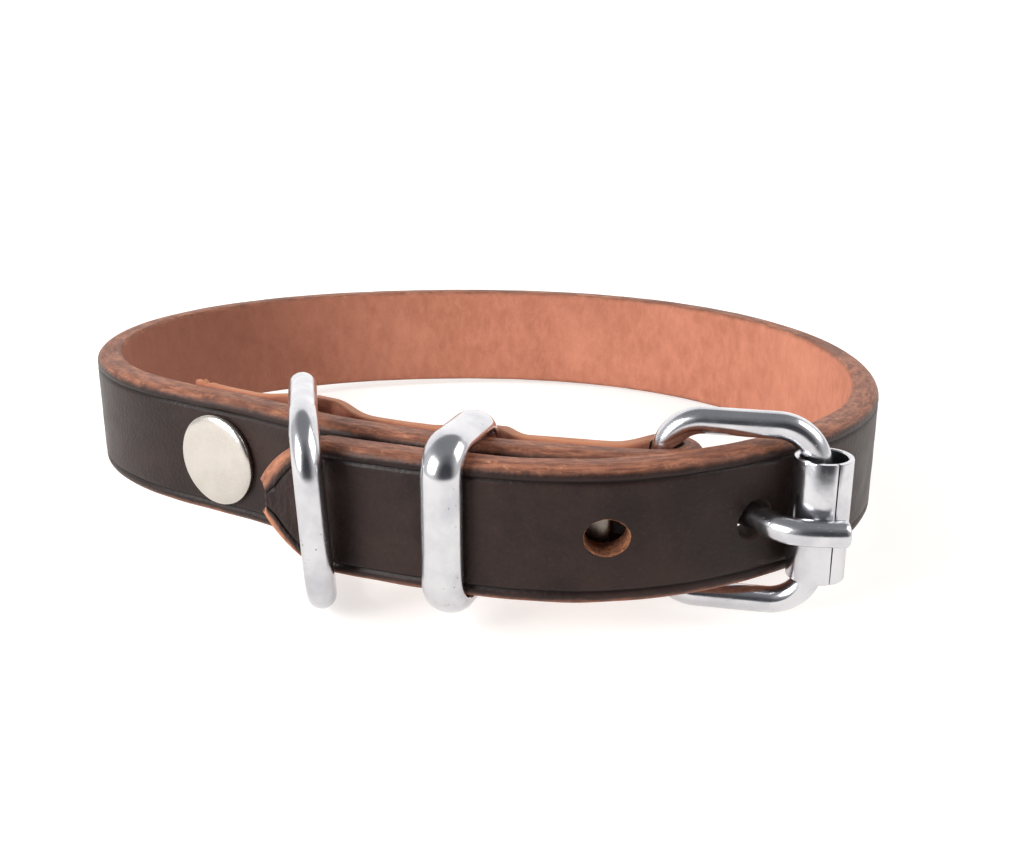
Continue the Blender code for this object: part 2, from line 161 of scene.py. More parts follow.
KEEPER_BAND_HALF_WIDTH = 0.0020
KEEPER_FRONT_CORNER = 0.0030
KEEPER_BAR_AT = 0.2770
KEEPER_FRONT_AT = 0.0186
KEEPER_TRAVEL = 0.0003
RIVETS_AT = {"rivet_left": 0.2475, "rivet_middle": 0.2672, "rivet_right": 0.2859}
CAP_RADIUS = 0.0048
CAP_HEIGHT = 0.0010
CAP_CROWN_SHARE = 0.74
CAP_SAG = 0.00010
CAP_SHOULDER = 0.00044
CAP_TUCK = 0.00012
CAP_TURN = math.radians(165)
TUBE_RADIUS = 0.0017
POST_RADIUS = 0.0010
BACK_CAP_GAP = 0.0009

# Camera, in the collar's own frame
CAMERA_AT = (0.0048, -0.1340, 0.04795)
CAMERA_PITCH = math.radians(71.98)
CAMERA_ROLL = math.radians(0.08)
CAMERA_LENS = 42.19

# The floor is brightest round the collar, dimmer in front of it, and rises into a white backdrop
FLOOR_DIM_AT = -0.260
FLOOR_LIT_AT = -0.130
BACKDROP_FROM = 0.08
BACKDROP_TO = 0.45
FLOOR_HALF_WIDTH = 2.5
FLOOR_FRONT = -1.2
FLOOR_RISE_AT = 0.9
FLOOR_RISE_RADIUS = 0.5
BACKDROP_HEIGHT = 2.0

# The surroundings, with a dim room on the camera's side and a dimmer ceiling
ROOM_WAY = (0.05, -0.97, 0.22)
ROOM_FROM = 0.62
ROOM_TO = 0.93
CEILING_FROM = 0.50
CEILING_TO = 0.82
WORLD_STRENGTH = 0.75

# Colours
WHITE = (1.0, 1.0, 1.0)
GRAIN_DARK = (0.0135, 0.0070, 0.0060)
GRAIN_LIGHT = (0.031, 0.0165, 0.0138)
GRAIN_FINE = (0.050, 0.032, 0.027)
GRAIN_PORE = (0.007, 0.0045, 0.004)
GRAIN_SCUFF = (0.075, 0.048, 0.040)
# Painted shade in the pressed crease
CREASE_PAINTED_SHADE = (0.008, 0.0045, 0.004)
EDGE_DARK = (0.14, 0.052, 0.033)
EDGE_LIGHT = (0.40, 0.165, 0.096)
EDGE_SPOT = (0.60, 0.27, 0.15)
EDGE_WORN = (0.115, 0.045, 0.031)
EDGE_FRESH = (0.62, 0.255, 0.125)
EDGE_TIP = (0.56, 0.20, 0.085)
FLESH_DARK = (0.36, 0.132, 0.080)
FLESH_LIGHT = (0.50, 0.200, 0.126)
FLESH_PATCH = (0.58, 0.245, 0.160)
FLESH_SHADED = (0.150, 0.060, 0.042)
CUT_COLORS = ((0.07, 0.022, 0.010), (0.42, 0.155, 0.06), (0.60, 0.26, 0.12))
# Walls of the prong hole and of the slots round the metal: cut leather darkened to paint the shade in
# these recesses
PAINTED_SHADE_CUT_COLORS = ((0.005, 0.003, 0.002), (0.060, 0.022, 0.010), (0.16, 0.058, 0.024))
CHROME_LIGHT = (0.61, 0.61, 0.635)
CHROME_SMOKY = (0.47, 0.475, 0.51)
CHROME_PIT = (0.16, 0.16, 0.18)
PIT_SHARE = 0.6
WORN_PIT_SHARE = 1.44
NICKEL_COLORS = ((0.61, 0.575, 0.53), (0.54, 0.505, 0.465))
# Rivet caps hidden between the plies: nickel darkened to paint the shade there
PAINTED_SHADE_NICKEL_COLORS = ((0.26, 0.23, 0.20), (0.15, 0.13, 0.115))
FLOOR_DIM = (0.34, 0.335, 0.33)
FLOOR_LIT = (0.58, 0.555, 0.53)
FLOOR_GLOW_DIM = (0.36, 0.36, 0.365)
FLOOR_GLOW_LIT = (0.62, 0.612, 0.603)
ROOM_COLOR = (0.075, 0.078, 0.09)
CEILING_COLOR = (0.42, 0.425, 0.44)
WARM_LIGHT = (1.0, 0.97, 0.94)


def stand_matrix():
    x, y, _ = REST_TILT
    turn = Matrix.Rotation(y, 4, "Y") @ Matrix.Rotation(x, 4, "X")
    return Matrix.Translation(STAND_AT) @ turn


STAND = stand_matrix()
UPWARD = (0.0, 0.0, 1.0)


def ease(x):
    x = min(max(x, 0.0), 1.0)
    return x * x * (3.0 - 2.0 * x)


def bump(distance, reach):
    return 1.0 - ease(abs(distance) / reach)


def bulge(distance, half_width, reach):
    return 1.0 - ease((abs(distance) - half_width) / reach)


def bend_at(s):
    for (s0, b0), (s1, b1) in zip(BENDS, BENDS[1:]):
        if s <= s1:
            return b0 + (b1 - b0) * (s - s0) / (s1 - s0)
    return BENDS[-1][1]


def trace_route():
    point, heading = START.copy(), START_HEADING
    route = [(point.copy(), heading)]
    for i in range(int(BENDS[-1][0] / ROUTE_STEP) + 2):
        turn = bend_at((i + 0.5) * ROUTE_STEP) * ROUTE_STEP
        middle = heading + turn / 2
        point = point + ROUTE_STEP * Vector((math.cos(middle), math.sin(middle), 0.0))
        heading += turn
        route.append((point.copy(), heading))
    return route


ROUTE = trace_route()


def along(s):
    """The grain side at distance s: its point, its heading and its outward normal."""
    i = int(s / ROUTE_STEP)
    share = s / ROUTE_STEP - i
    (p0, h0), (p1, h1) = ROUTE[i], ROUTE[i + 1]
    heading = h0 + (h1 - h0) * share
    normal = Vector((math.sin(heading), -math.cos(heading), 0.0))
    return p0.lerp(p1, share), heading, normal


def thickness_at(s):
    skived = ease((s - BAR_AT + SKIVE_LENGTH) / SKIVE_LENGTH)
    return STRAP_THICKNESS - (STRAP_THICKNESS - FOLD_THICKNESS) * skived


def turn_thickness_at(s):
    share = (BAR_AT - s) / (BAR_AT - TURN_END_AT)
    return FOLD_THICKNESS + (TURN_END_THICKNESS - FOLD_THICKNESS) * share


def ply_spacing(s):
    wire = 2 * WIRE_RADIUS + GAP
    keeper = 2 * KEEPER_HALF_THICKNESS + KEEPER_GAP
    room = GAP
    room += wire * bulge(s - BAR_AT, 0.0, BAR_BULGE)
    reach = DEE_BULGE_AHEAD if s > DEE_BAR_AT else DEE_BULGE
    room += wire * bulge(s - DEE_BAR_AT, WIRE_RADIUS + DEE_ROOM, reach)
    room += keeper * bulge(s - KEEPER_BAR_AT, KEEPER_HALF_WIDTH + KEEPER_TRAVEL, KEEPER_BULGE)
    return room


def inside_point(s, half_depth):
    point, _, normal = along(s)
    return point - normal * (thickness_at(s) + GAP + half_depth)


def outside_point(s, distance):
    point, _, normal = along(s)
    return point + normal * distance


def rise_at(s):
    return TAIL_RISE * bump(s - TAIL_RISE_AT, TAIL_RISE_REACH)


def tip_share(s):
    if s >= TIP_LENGTH:
        return 1.0
    return TIP_FLAT + (1.0 - TIP_FLAT) * (1.0 - (1.0 - s / TIP_LENGTH) ** TIP_POWER)


def spaced(first, last, step):
    count = max(1, round(abs(last - first) / step))
    return [first + (last - first) * i / count for i in range(count + 1)]


BAR_POINT = inside_point(BAR_AT, WIRE_RADIUS)
ROLLER_POINT = outside_point(ROLLER_AT, GAP + ROLLER_RADIUS)
FRAME_WAY = (ROLLER_POINT - BAR_POINT).normalized()


# Node materials ------------------------------------------------------------------------

class Shading:
    """A material and short calls for the nodes that colour it."""

    def __init__(self, name, roughness=0.5, metallic=0.0):
        self.material = bpy.data.materials.new(name)
        self.material.use_nodes = True
        self.tree = self.material.node_tree
        self.shader = self.tree.nodes["Principled BSDF"]
        self.shader.inputs["Roughness"].default_value = roughness
        self.shader.inputs["Metallic"].default_value = metallic

    def link(self, source, target):
        self.tree.links.new(source, target)

    def put(self, value, socket):
        if isinstance(value, bpy.types.NodeSocket):
            self.link(value, socket)
        elif isinstance(value, tuple):
            socket.default_value = (*value, 1.0) if len(value) == 3 else value
        else:
            socket.default_value = value

    def place(self):
        return self.tree.nodes.new("ShaderNodeTexCoord").outputs["Object"]

    def split(self, vector):
        node = self.tree.nodes.new("ShaderNodeSeparateXYZ")
        self.link(vector, node.inputs[0])
        return node.outputs

    def uv(self):
        x, y, _ = self.split(self.tree.nodes.new("ShaderNodeUVMap").outputs["UV"])
        return x, y

    def join(self, x, y, z):
        node = self.tree.nodes.new("ShaderNodeCombineXYZ")
        for value, socket in zip((x, y, z), node.inputs):
            self.put(value, socket)
        return node.outputs[0]

    def math(self, operation, a, b=0.0, clamp=False):
        node = self.tree.nodes.new("ShaderNodeMath")
        node.operation = operation
        node.use_clamp = clamp
        self.put(a, node.inputs[0])
        self.put(b, node.inputs[1])
        return node.outputs[0]

    def ramp(self, value, low, high, to_low=0.0, to_high=1.0):
        node = self.tree.nodes.new("ShaderNodeMapRange")
        node.interpolation_type = "SMOOTHSTEP"
        for item, socket in zip((value, low, high, to_low, to_high), node.inputs):
            self.put(item, socket)
        return node.outputs[0]

    def noise(self, vector, scale, detail=4.0, roughness=0.55, distortion=0.0):
        node = self.tree.nodes.new("ShaderNodeTexNoise")
        self.put(vector, node.inputs["Vector"])
        node.inputs["Scale"].default_value = scale
        node.inputs["Detail"].default_value = detail
        node.inputs["Roughness"].default_value = roughness
        node.inputs["Distortion"].default_value = distortion
        return node.outputs["Fac"]

    def cells(self, vector, scale):
        node = self.tree.nodes.new("ShaderNodeTexVoronoi")
        self.put(vector, node.inputs["Vector"])
        node.inputs["Scale"].default_value = scale
        return node.outputs["Distance"]

    def mix(self, share, a, b):
        node = self.tree.nodes.new("ShaderNodeMix")
        node.data_type = "RGBA"
        self.put(share, node.inputs["Factor"])
        self.put(a, node.inputs["A"])
        self.put(b, node.inputs["B"])
        return node.outputs["Result"]

    def stretch(self, vector, scale):
        node = self.tree.nodes.new("ShaderNodeMapping")
        self.put(vector, node.inputs["Vector"])
        node.inputs["Scale"].default_value = scale
        return node.outputs[0]

    def relief(self, height, distance, strength=1.0):
        node = self.tree.nodes.new("ShaderNodeBump")
        node.inputs["Strength"].default_value = strength
        node.inputs["Distance"].default_value = distance
        self.put(height, node.inputs["Height"])
        return node.outputs[0]

    def set(self, **values):
        names = {
            "color": "Base Color", "roughness": "Roughness", "normal": "Normal",
            "specular": "Specular IOR Level", "glow": "Emission Color",
        }
        for key, value in values.items():
            self.put(value, self.shader.inputs[names[key]])


# Places on the strap's section: 0 in the middle of the grain, 1 in the middle of the flesh
CREASE_W = 0.32
EDGE_FROM_W = 0.37
EDGE_W = 0.50
FLESH_W = 0.60
# How far along the strap the turned ply starts, past the fold
TURNED_FROM = 0.3060


def strap_leather():
    """Dark waxed grain, a pressed crease, burnished red edges and a bare tan flesh side."""
    m = Shading("strap_leather")
    place = m.place()
    s, v = m.uv()
    w_clean = m.math("MULTIPLY", m.math("ABSOLUTE", m.math("SUBTRACT", v, 0.5)), 2.0)
    ragged = m.noise(place, 900.0, 3.0)
    w = m.math("ADD", w_clean, m.math("MULTIPLY", m.math("SUBTRACT", ragged, 0.5), 0.045))
    # grain
    cloud = m.noise(place, 160.0, 5.0, 0.6)
    fine = m.noise(place, 2600.0, 3.0, 0.6)
    pores = m.cells(place, 2300.0)
    grain = m.mix(m.ramp(cloud, 0.3, 0.75), GRAIN_DARK, GRAIN_LIGHT)
    grain = m.mix(m.ramp(fine, 0.52, 0.85, 0.0, 0.4), grain, GRAIN_FINE)
    grain = m.mix(m.ramp(pores, 0.0, 0.25, 0.35, 0.0), grain, GRAIN_PORE)
    scuffs = m.noise(m.stretch(place, (1.0, 1.0, 2.6)), 520.0, 6.0, 0.75, 0.6)
    grain = m.mix(m.ramp(scuffs, 0.66, 0.80, 0.0, 0.45), grain, GRAIN_SCUFF)
    # edges
    lengthwise = m.join(m.math("MULTIPLY", s, 420.0), m.math("MULTIPLY", v, 60.0), 0.0)
    threads = m.noise(lengthwise, 1.0, 6.0, 0.7)
    spots = m.noise(place, 1500.0, 4.0, 0.65)
    edge = m.mix(m.ramp(threads, 0.32, 0.70), EDGE_DARK, EDGE_LIGHT)
    edge = m.mix(m.ramp(spots, 0.55, 0.78, 0.0, 0.8), edge, EDGE_SPOT)
    worn = m.ramp(m.noise(place, 120.0, 3.0), 0.42, 0.66)
    edge = m.mix(m.math("MULTIPLY", worn, 0.55), edge, EDGE_WORN)
    fresh = m.ramp(s, TURNED_FROM, TURNED_FROM + 0.006)
    edge = m.mix(m.math("MULTIPLY", fresh, 0.6), edge, EDGE_FRESH)
    end_band = m.ramp(s, 0.0030, 0.0068, 0.75, 0.0)
    end_band = m.math("MULTIPLY", end_band, m.ramp(v, 0.45, 0.62, 1.0, 0.3))
    edge = m.mix(m.math("MULTIPLY", end_band, m.ramp(spots, 0.3, 0.6)), edge, EDGE_TIP)
    # flesh
    nap = m.noise(m.stretch(place, (1.0, 1.0, 0.55)), 700.0, 7.0, 0.7, 0.3)
    patches = m.noise(place, 85.0, 4.0, 0.6)
    flesh = m.mix(m.ramp(nap, 0.25, 0.80), FLESH_DARK, FLESH_LIGHT)
    flesh = m.mix(m.ramp(patches, 0.35, 0.75, 0.0, 0.35), flesh, FLESH_PATCH)
    shaded = m.math("MULTIPLY", m.ramp(s, 0.150, 0.205), m.ramp(s, 0.245, 0.262, 1.0, 0.0))
    flesh = m.mix(m.math("MULTIPLY", shaded, 0.72), flesh, FLESH_SHADED)
    # from one to the next
    # Painted shade: the grain is darkened along the pressed crease
    off_crease = m.math("ABSOLUTE", m.math("SUBTRACT", w_clean, CREASE_W))
    grain = m.mix(m.ramp(off_crease, 0.008, 0.026, 0.85, 0.0), grain, CREASE_PAINTED_SHADE)
    to_edge = m.ramp(w, EDGE_FROM_W, EDGE_FROM_W + 0.07)
    color = m.mix(to_edge, grain, edge)
    to_flesh = m.ramp(w, FLESH_W - 0.05, FLESH_W + 0.02)
    color = m.mix(to_flesh, color, flesh)
    rough = m.ramp(cloud, 0.3, 0.75, 0.38, 0.50)
    rough = m.math("ADD", rough, m.math("MULTIPLY", to_edge, 0.12))
    rough = m.math("ADD", rough, m.math("MULTIPLY", to_flesh, 0.28), clamp=True)
    height = m.math("ADD", m.math("MULTIPLY", pores, 0.35), m.math("MULTIPLY", fine, 0.5))
    wrinkled = m.ramp(s, 0.0055, 0.0085, 1.0, 0.0)
    folds = m.noise(m.stretch(place, (1.0, 1.0, 0.35)), 900.0, 3.0, 0.55, 1.2)
    height = m.math("ADD", height, m.math("MULTIPLY", m.math("MULTIPLY", folds, wrinkled), 4.0))
    fibres = m.math("ADD", m.math("MULTIPLY", threads, 1.2), m.math("MULTIPLY", spots, 0.9))
    height = m.math("ADD", height, m.math("MULTIPLY", fibres, to_edge))
    height = m.math("ADD", height, m.math("MULTIPLY", nap, m.math("MULTIPLY", to_flesh, 1.6)))
    m.set(color=color, roughness=rough, specular=0.19, normal=m.relief(height, 0.00007, 0.9))
    return m.material


def raw_leather(name, dark, light, tuft):
    """The wall of a hole: open fibres, with paler tufts."""
    m = Shading(name, 0.85)
    place = m.place()
    fibres = m.noise(place, 2400.0, 6.0, 0.75, 0.8)
    clumps = m.noise(place, 800.0, 3.0)
    color = m.mix(m.ramp(fibres, 0.35, 0.7), dark, light)
    color = m.mix(m.ramp(clumps, 0.5, 0.8, 0.0, 0.6), color, tuft)
    m.set(color=color, normal=m.relief(fibres, 0.00025, 1.0))
    return m.material


def chrome(name, pit_share):
    """Bright plate with pits, hairline scratches and a few dull patches."""
    m = Shading(name, 0.1, 1.0)
    place = m.place()
    smoke = m.noise(place, 240.0, 5.0, 0.6)
    pits = m.cells(place, 1700.0)
    pocks = m.noise(place, 330.0, 2.0)
    pitted = m.math("MULTIPLY", m.ramp(pits, 0.05, 0.20, 1.0, 0.0), m.ramp(pocks, 0.56, 0.68))
    hair = m.noise(m.stretch(place, (1.0, 5.0, 0.6)), 1500.0, 4.0, 0.7)
    color = m.mix(m.ramp(smoke, 0.35, 0.75, 0.0, 1.0), CHROME_LIGHT, CHROME_SMOKY)
    color = m.mix(m.math("MULTIPLY", pitted, pit_share), color, CHROME_PIT)
    rough = m.ramp(smoke, 0.3, 0.8, 0.15, 0.27)
    rough = m.math("ADD", rough, m.ramp(hair, 0.55, 0.85, 0.0, 0.12))
    wavy = m.noise(place, 420.0, 2.0)
    height = m.math("SUBTRACT", m.math("MULTIPLY", wavy, 0.8), m.math("MULTIPLY", pitted, 0.9))
    height = m.math("ADD", height, m.math("MULTIPLY", hair, 0.10))
    m.set(color=color, roughness=rough, normal=m.relief(height, 0.00006, 0.5))
    return m.material


def nickel(name, light, dark):
    """Warm nickel plate, pressed smooth and lightly brushed."""
    m = Shading(name, 0.25, 1.0)
    place = m.place()
    cloud = m.noise(place, 300.0, 4.0, 0.6)
    brushed = m.noise(m.stretch(place, (1.0, 1.0, 6.0)), 900.0, 5.0, 0.7)
    color = m.mix(m.ramp(cloud, 0.3, 0.75), light, dark)
    rough = m.ramp(cloud, 0.3, 0.8, 0.20, 0.30)
    rough = m.math("ADD", rough, m.ramp(brushed, 0.5, 0.9, 0.0, 0.1))
    m.set(color=color, roughness=rough, normal=m.relief(brushed, 0.00001, 0.4))
    return m.material


# Strap ---------------------------------------------------------------------------------

def strap_columns():
    """Each column: grain point, outward way, middle height, half width, thickness and tip slant."""
    columns = []
    tip = [TIP_LENGTH * (i / TIP_COLUMNS) ** 1.5 for i in range(TIP_COLUMNS)]
    for s in tip + spaced(TIP_LENGTH, BAR_AT, COLUMN_STEP):
        point, _, normal = along(s)
        middle = STRAP_WIDTH / 2 + rise_at(s)
        half = STRAP_WIDTH / 2 * tip_share(s)
        slant = normal.cross(Vector(UPWARD)) * TIP_SLANT * ease(1.0 - s / TIP_LENGTH)
        columns.append((point, normal, middle, half, thickness_at(s), slant))
    middle = STRAP_WIDTH / 2
    _, heading, _ = along(BAR_AT)
    reach = WIRE_RADIUS + GAP + FOLD_THICKNESS
    for i in range(1, FOLD_COLUMNS):
        angle = heading - math.pi / 2 + math.pi * i / FOLD_COLUMNS
        around = Vector((math.cos(angle), math.sin(angle), 0.0))
        point = BAR_POINT + reach * around
        columns.append((point, around, middle, STRAP_WIDTH / 2, FOLD_THICKNESS, Vector()))
    turned = []
    for s in spaced(BAR_AT, TURN_END_AT, COLUMN_STEP * 0.8):
        point, _, normal = along(s)
        depth = thickness_at(s) + ply_spacing(s) + turn_thickness_at(s)
        turned.append((point - normal * depth, s))
    for i, (point, s) in enumerate(turned):
        before, after = turned[max(i - 1, 0)][0], turned[min(i + 1, len(turned) - 1)][0]
        way = (after - before).normalized()
        out = Vector((way.y, -way.x, 0.0))
        fluff = FLUFF * ease((TURN_END_AT + FLUFF_REACH - s) / FLUFF_REACH)
        half = STRAP_WIDTH / 2 + fluff * (0.6 + noise.noise(Vector((s * 2600, 0, 0))))
        columns.append((point, out, middle, half, turn_thickness_at(s), Vector()))
    return columns


def half_section(half, thickness, tip):
    """From the middle of the grain over the upper edge to the middle of the flesh: (w, z, depth)."""
    k = min(1.0, half / FULL_SECTION_HALF)
    thin = thickness / STRAP_THICKNESS
    points = []
    flat = half - CREASE_FROM_EDGE * k
    for i in range(8):
        points.append((0.28 * i / 8, flat * i / 8, 0.0))
    for share, w, depth in CREASE_SHAPE:
        inset = CREASE_FROM_EDGE + (SHOULDER - CREASE_FROM_EDGE) * share
        points.append((w, half - inset * k, depth * 0.001 * thin * k))
    for i in range(1, 9):
        angle = 0.5 * math.pi * i / 8
        z = half - SHOULDER * k * (1.0 - math.sin(angle)) + tip * TIP_SWELL * math.sin(angle)
        points.append((0.36 + 0.14 * i / 8, z, SHOULDER_DROP * thin * (1.0 - math.cos(angle))))
    half += tip * TIP_SWELL
    corner = FLESH_CORNER * thin
    points.append((0.53, half, (SHOULDER_DROP * thin + thickness - corner) / 2))
    for i in range(5):
        angle = 0.5 * math.pi * i / 4
        z = half - corner * k * (1.0 - math.cos(angle))
        points.append((0.55 + 0.05 * i / 4, z, thickness - corner * (1.0 - math.sin(angle))))
    inner = half - corner * k
    for i in range(1, 9):
        points.append((0.60 + 0.40 * i / 8, inner * (1.0 - i / 8), thickness))
    return points


def make_strap(leathers):
    columns = strap_columns()
    distance = 0.0
    mesh = bmesh.new()
    uv = mesh.loops.layers.uv.new("UVMap")
    rings, lengths = [], []
    for i, (point, out, middle, half, thickness, slant) in enumerate(columns):
        if i:
            distance += (point - columns[i - 1][0]).length
        section = half_section(half, thickness, slant.length / TIP_SLANT)
        lower = [(0.5 - w / 2, -z, depth) for w, z, depth in reversed(section)]
        upper = [(0.5 + w / 2, z, depth) for w, z, depth in section[1:]]
        ring = []
        for v, z, depth in (lower + upper)[:-1]:
            wobble = noise.noise(Vector((distance * 260, z * 500, depth * 900))) * SKIN_WOBBLE
            where = point - out * (depth + wobble) + slant * min(depth / TIP_BEVEL_DEPTH, 1.0)
            ring.append((mesh.verts.new((where.x, where.y, middle + z + wobble)), v))
        rings.append(ring)
        lengths.append(distance)
    count = len(rings[0])
    for i in range(len(rings) - 1):
        for j in range(count):
            k = (j + 1) % count
            v0, v1 = rings[i][j][1], rings[i][k][1] if k else 1.0
            corners = ((i, j, v0), (i + 1, j, v0), (i + 1, k, v1), (i, k, v1))
            face = mesh.faces.new([rings[column][spot][0] for column, spot, _ in corners])
            face.smooth = True
            for loop, (column, _, v) in zip(face.loops, corners):
                loop[uv].uv = (lengths[column], v)
    for ring, distance, order in ((rings[0], lengths[0], 1), (rings[-1], lengths[-1], -1)):
        face = mesh.faces.new([vertex for vertex, _ in ring][::order])
        for loop in face.loops:
            loop[uv].uv = (distance, 0.5 + EDGE_W / 2)
    bmesh.ops.recalc_face_normals(mesh, faces=mesh.faces)
    data = bpy.data.meshes.new("strap_fine")
    mesh.to_mesh(data)
    mesh.free()
    for leather in leathers:
        data.materials.append(leather)
    strap = bpy.data.objects.new("strap_fine", data)
    bpy.context.scene.collection.objects.link(strap)
    return strap


# Metal ---------------------------------------------------------------------------------

def rounded_loop(near, far, half_height, near_corner, far_corner, corner_points=18):
    corners = (
        (near, -half_height, near_corner, math.pi),
        (far, -half_height, far_corner, 1.5 * math.pi),
        (far, half_height, far_corner, 0.0),
        (near, half_height, near_corner, 0.5 * math.pi),
    )
    points = []
    for x, z, radius, start in corners:
        centre_x = x + math.copysign(radius, (near + far) / 2 - x)
        centre_z = z - math.copysign(radius, z)
        for i in range(corner_points):
            angle = start + 0.5 * math.pi * i / (corner_points - 1)
            aside, upward = radius * math.cos(angle), radius * math.sin(angle)
            points.append((centre_x + aside, 0.0, centre_z + upward))
    return points


def sweep(name, points, section, cyclic, material, radii=None, side=(0.0, 1.0, 0.0)):
    """A band of that section, given as (aside, outward) pairs, along points square to side."""
    mesh = bmesh.new()
    rings = []
    side = Vector(side)
    count = len(points)
    for i, point in enumerate(points):
        here = Vector(point)
        before = Vector(points[i - 1]) if cyclic or i else here
        after = Vector(points[(i + 1) % count]) if cyclic or i < count - 1 else here
        way = (after - before).normalized()
        out = side.cross(way).normalized()
        scale = radii[i] if radii else 1.0
        rings.append([mesh.verts.new(here + side * a * scale + out * b * scale) for a, b in section])
    pairs = [(i, i + 1) for i in range(count - 1)] + ([(count - 1, 0)] if cyclic else [])
    for i, k in pairs:
        for j in range(len(section)):
            n = (j + 1) % len(section)
            face = mesh.faces.new((rings[i][j], rings[k][j], rings[k][n], rings[i][n]))
            face.smooth = True
    if not cyclic:
        mesh.faces.new(rings[0])
        mesh.faces.new(rings[-1][::-1])
    bmesh.ops.recalc_face_normals(mesh, faces=mesh.faces)
    data = bpy.data.meshes.new(name)
    mesh.to_mesh(data)
    mesh.free()
    if material:
        data.materials.append(material)
    item = bpy.data.objects.new(name, data)
    bpy.context.scene.collection.objects.link(item)
    return item


def circle(radius, sides=32):
    return [(radius * math.cos(2 * math.pi * i / sides), radius * math.sin(2 * math.pi * i / sides))
            for i in range(sides)]


def placed(item, point, height, direction=None):
    """Puts a piece made in the collar's own frame where the standing collar has it."""
    turn = Matrix.Rotation(math.atan2(direction.y, direction.x), 4, "Z") if direction else Matrix()
    item.matrix_world = STAND @ Matrix.Translation((point.x, point.y, height)) @ turn
    return item


def make_frame(material):
    reach = (ROLLER_POINT - BAR_POINT).length - ROLLER_OFFSET
    points = rounded_loop(0.0, reach, FRAME_HALF_HEIGHT, BAR_CORNER, ROLLER_CORNER)
    wire = sweep("frame_wire", points, circle(WIRE_RADIUS), True, material)
    return placed(wire, BAR_POINT, FRAME_MIDDLE, FRAME_WAY), points


def make_prong(material):
    way = Vector((math.cos(PRONG_HEADING), math.sin(PRONG_HEADING), 0.0))
    points = [way * distance for distance in PRONG_STRAIGHT]
    heading, point = PRONG_HEADING, points[-1].copy()
    for turn, step in PRONG_TURNS:
        for _ in range(4):
            heading += math.radians(turn / 4)
            point = point + step / 4 * Vector((math.cos(heading), math.sin(heading), 0.0))
            points.append(point.copy())
    end = points.pop()
    last = (end - points[-1]).normalized()
    radii = [0.75, 0.9] + [1.0] * (len(points) - 2)
    for back, share in ((1.0, 1.0), (0.35, 0.93), (0.0, 0.80)):
        points.append(end - last * PRONG_CHAMFER * back)
        radii.append(share)
    shank = sweep("prong_wire", points, circle(PRONG_RADIUS), False, material, radii, UPWARD)
    ring = [(EYE_RADIUS * math.cos(a), EYE_RADIUS * math.sin(a), 0.0)
            for a in [2 * math.pi * i / 64 for i in range(64)]]
    eye = sweep("prong_eye", ring, circle(EYE_WIRE_RADIUS, 24), True, material, None, UPWARD)
    placed(shank, BAR_POINT, PRONG_HEIGHT)
    placed(eye, BAR_POINT, PRONG_HEIGHT)
    return shank, eye, points


def make_roller(material):
    """Sheet metal rolled round the frame's front wire, its two edges meeting at a seam."""
    slit = ROLLER_SLIT / ROLLER_RADIUS
    inner, outer, lip = ROLLER_RADIUS - ROLLER_WALL, ROLLER_RADIUS, ROLLER_LIP
    top = ROLLER_LENGTH / 2
    upper = [(inner, top - lip), (inner + lip, top), (outer - lip, top),
             (outer - lip * 0.3, top - lip * 0.3), (outer, top - lip)]
    profile = upper + [(r, -z) for r, z in reversed(upper)]
    mesh = bmesh.new()
    rings = []
    for i in range(ROLLER_STEPS + 1):
        angle = ROLLER_SEAM + slit + (2 * math.pi - 2 * slit) * i / ROLLER_STEPS
        near = min(i, ROLLER_STEPS - i)
        tuck = ROLLER_TUCKS[near] if near < len(ROLLER_TUCKS) else 0.0
        ring = []
        for r, z in profile:
            if r > inner + lip:
                r -= tuck
            ring.append(mesh.verts.new((r * math.cos(angle), r * math.sin(angle), z)))
        rings.append(ring)
    for i in range(ROLLER_STEPS):
        for j in range(len(profile)):
            n = (j + 1) % len(profile)
            face = mesh.faces.new((rings[i][j], rings[i + 1][j], rings[i + 1][n], rings[i][n]))
            face.smooth = True
    mesh.faces.new(rings[0])
    mesh.faces.new(rings[-1][::-1])
    bmesh.ops.recalc_face_normals(mesh, faces=mesh.faces)
    data = bpy.data.meshes.new("roller_tube")
    mesh.to_mesh(data)
    mesh.free()
    data.materials.append(material)
    data.set_sharp_from_angle(angle=math.radians(35))
    roller = bpy.data.objects.new("roller_tube", data)
    bpy.context.scene.collection.objects.link(roller)
    return placed(roller, ROLLER_POINT, ROLLER_MIDDLE)


def make_dee(material):
    bar = inside_point(DEE_BAR_AT, WIRE_RADIUS)
    front = outside_point(DEE_FRONT_AT, DEE_STAND_OFF + WIRE_RADIUS)
    reach = (front - bar).length
    points = rounded_loop(0.0, reach, DEE_HALF_HEIGHT, DEE_BAR_CORNER, DEE_BOW_CORNER, 24)
    wire = sweep("dee_wire", points, circle(DEE_WIRE_RADIUS, 40), True, material)
    placed(wire, bar, DEE_MIDDLE, front - bar)
    wire.matrix_world = wire.matrix_world @ Matrix.Rotation(DEE_LEAN, 4, "X")
    return wire


def half_round(half_width, half_thickness, steps=18):
    """A flat inner side and a domed outer one."""
    points = []
    for i in range(steps + 1):
        angle = math.pi * i / steps
        rise = max(math.sin(angle), 0.0)
        points.append((half_width * math.cos(angle), half_thickness * (2.1 * rise - 0.6)))
    for x, z in ((-0.97, -0.8), (-0.85, -1.0), (0.85, -1.0), (0.97, -0.8)):
        points.append((half_width * x, half_thickness * z))
    return points


